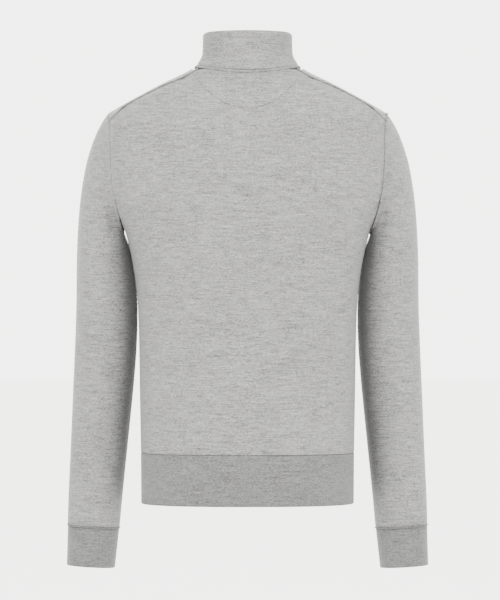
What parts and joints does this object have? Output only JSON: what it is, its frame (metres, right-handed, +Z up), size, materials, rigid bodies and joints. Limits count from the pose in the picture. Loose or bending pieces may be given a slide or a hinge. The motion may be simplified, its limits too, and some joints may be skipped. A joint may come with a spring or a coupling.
{
  "type": "zip-up sweater",
  "caption": "Fine-knit long-sleeved sweater with a stand collar and a closed front zip, in its hollow worn form with no wearer.",
  "frame": {"origin": "on the neck's axis at the height of the side neck points, where the wearer's neck and shoulders carry the garment", "axes": "+Z up, the front faces -Y, the wearer's left is +X"},
  "size_m": [0.5572, 0.2408, 0.8173],
  "materials": {
    "knit": "fine heather grey wool knit",
    "rib": "denser heather grey wool welt",
    "tape": "woven grey zip tape",
    "zip_metal": "dull grey zip metal"
  },
  "bodies": {
    "garment": {"body_back": "knit", "body_front_left": "knit", "body_front_right": "knit", "sleeve_left": "knit", "sleeve_right": "knit", "collar": "knit", "hem_back": "rib", "hem_front_left": "rib", "hem_front_right": "rib", "cuff_left": "rib", "cuff_right": "rib", "zip_tape_left": "tape", "zip_tape_right": "tape", "zip_chain": "zip_metal", "zip_slider": "zip_metal", "zip_box": "zip_metal"},
    "pull": {"zip_pull": "zip_metal"}
  },
  "joints": [
    {"name": "pull_swing", "type": "hinge", "parent": "garment", "child": "pull", "pos_m": [0, -0.07728, -0.0003], "axis": [-1, 0, 0], "range_deg": [0, 165]}
  ]
}
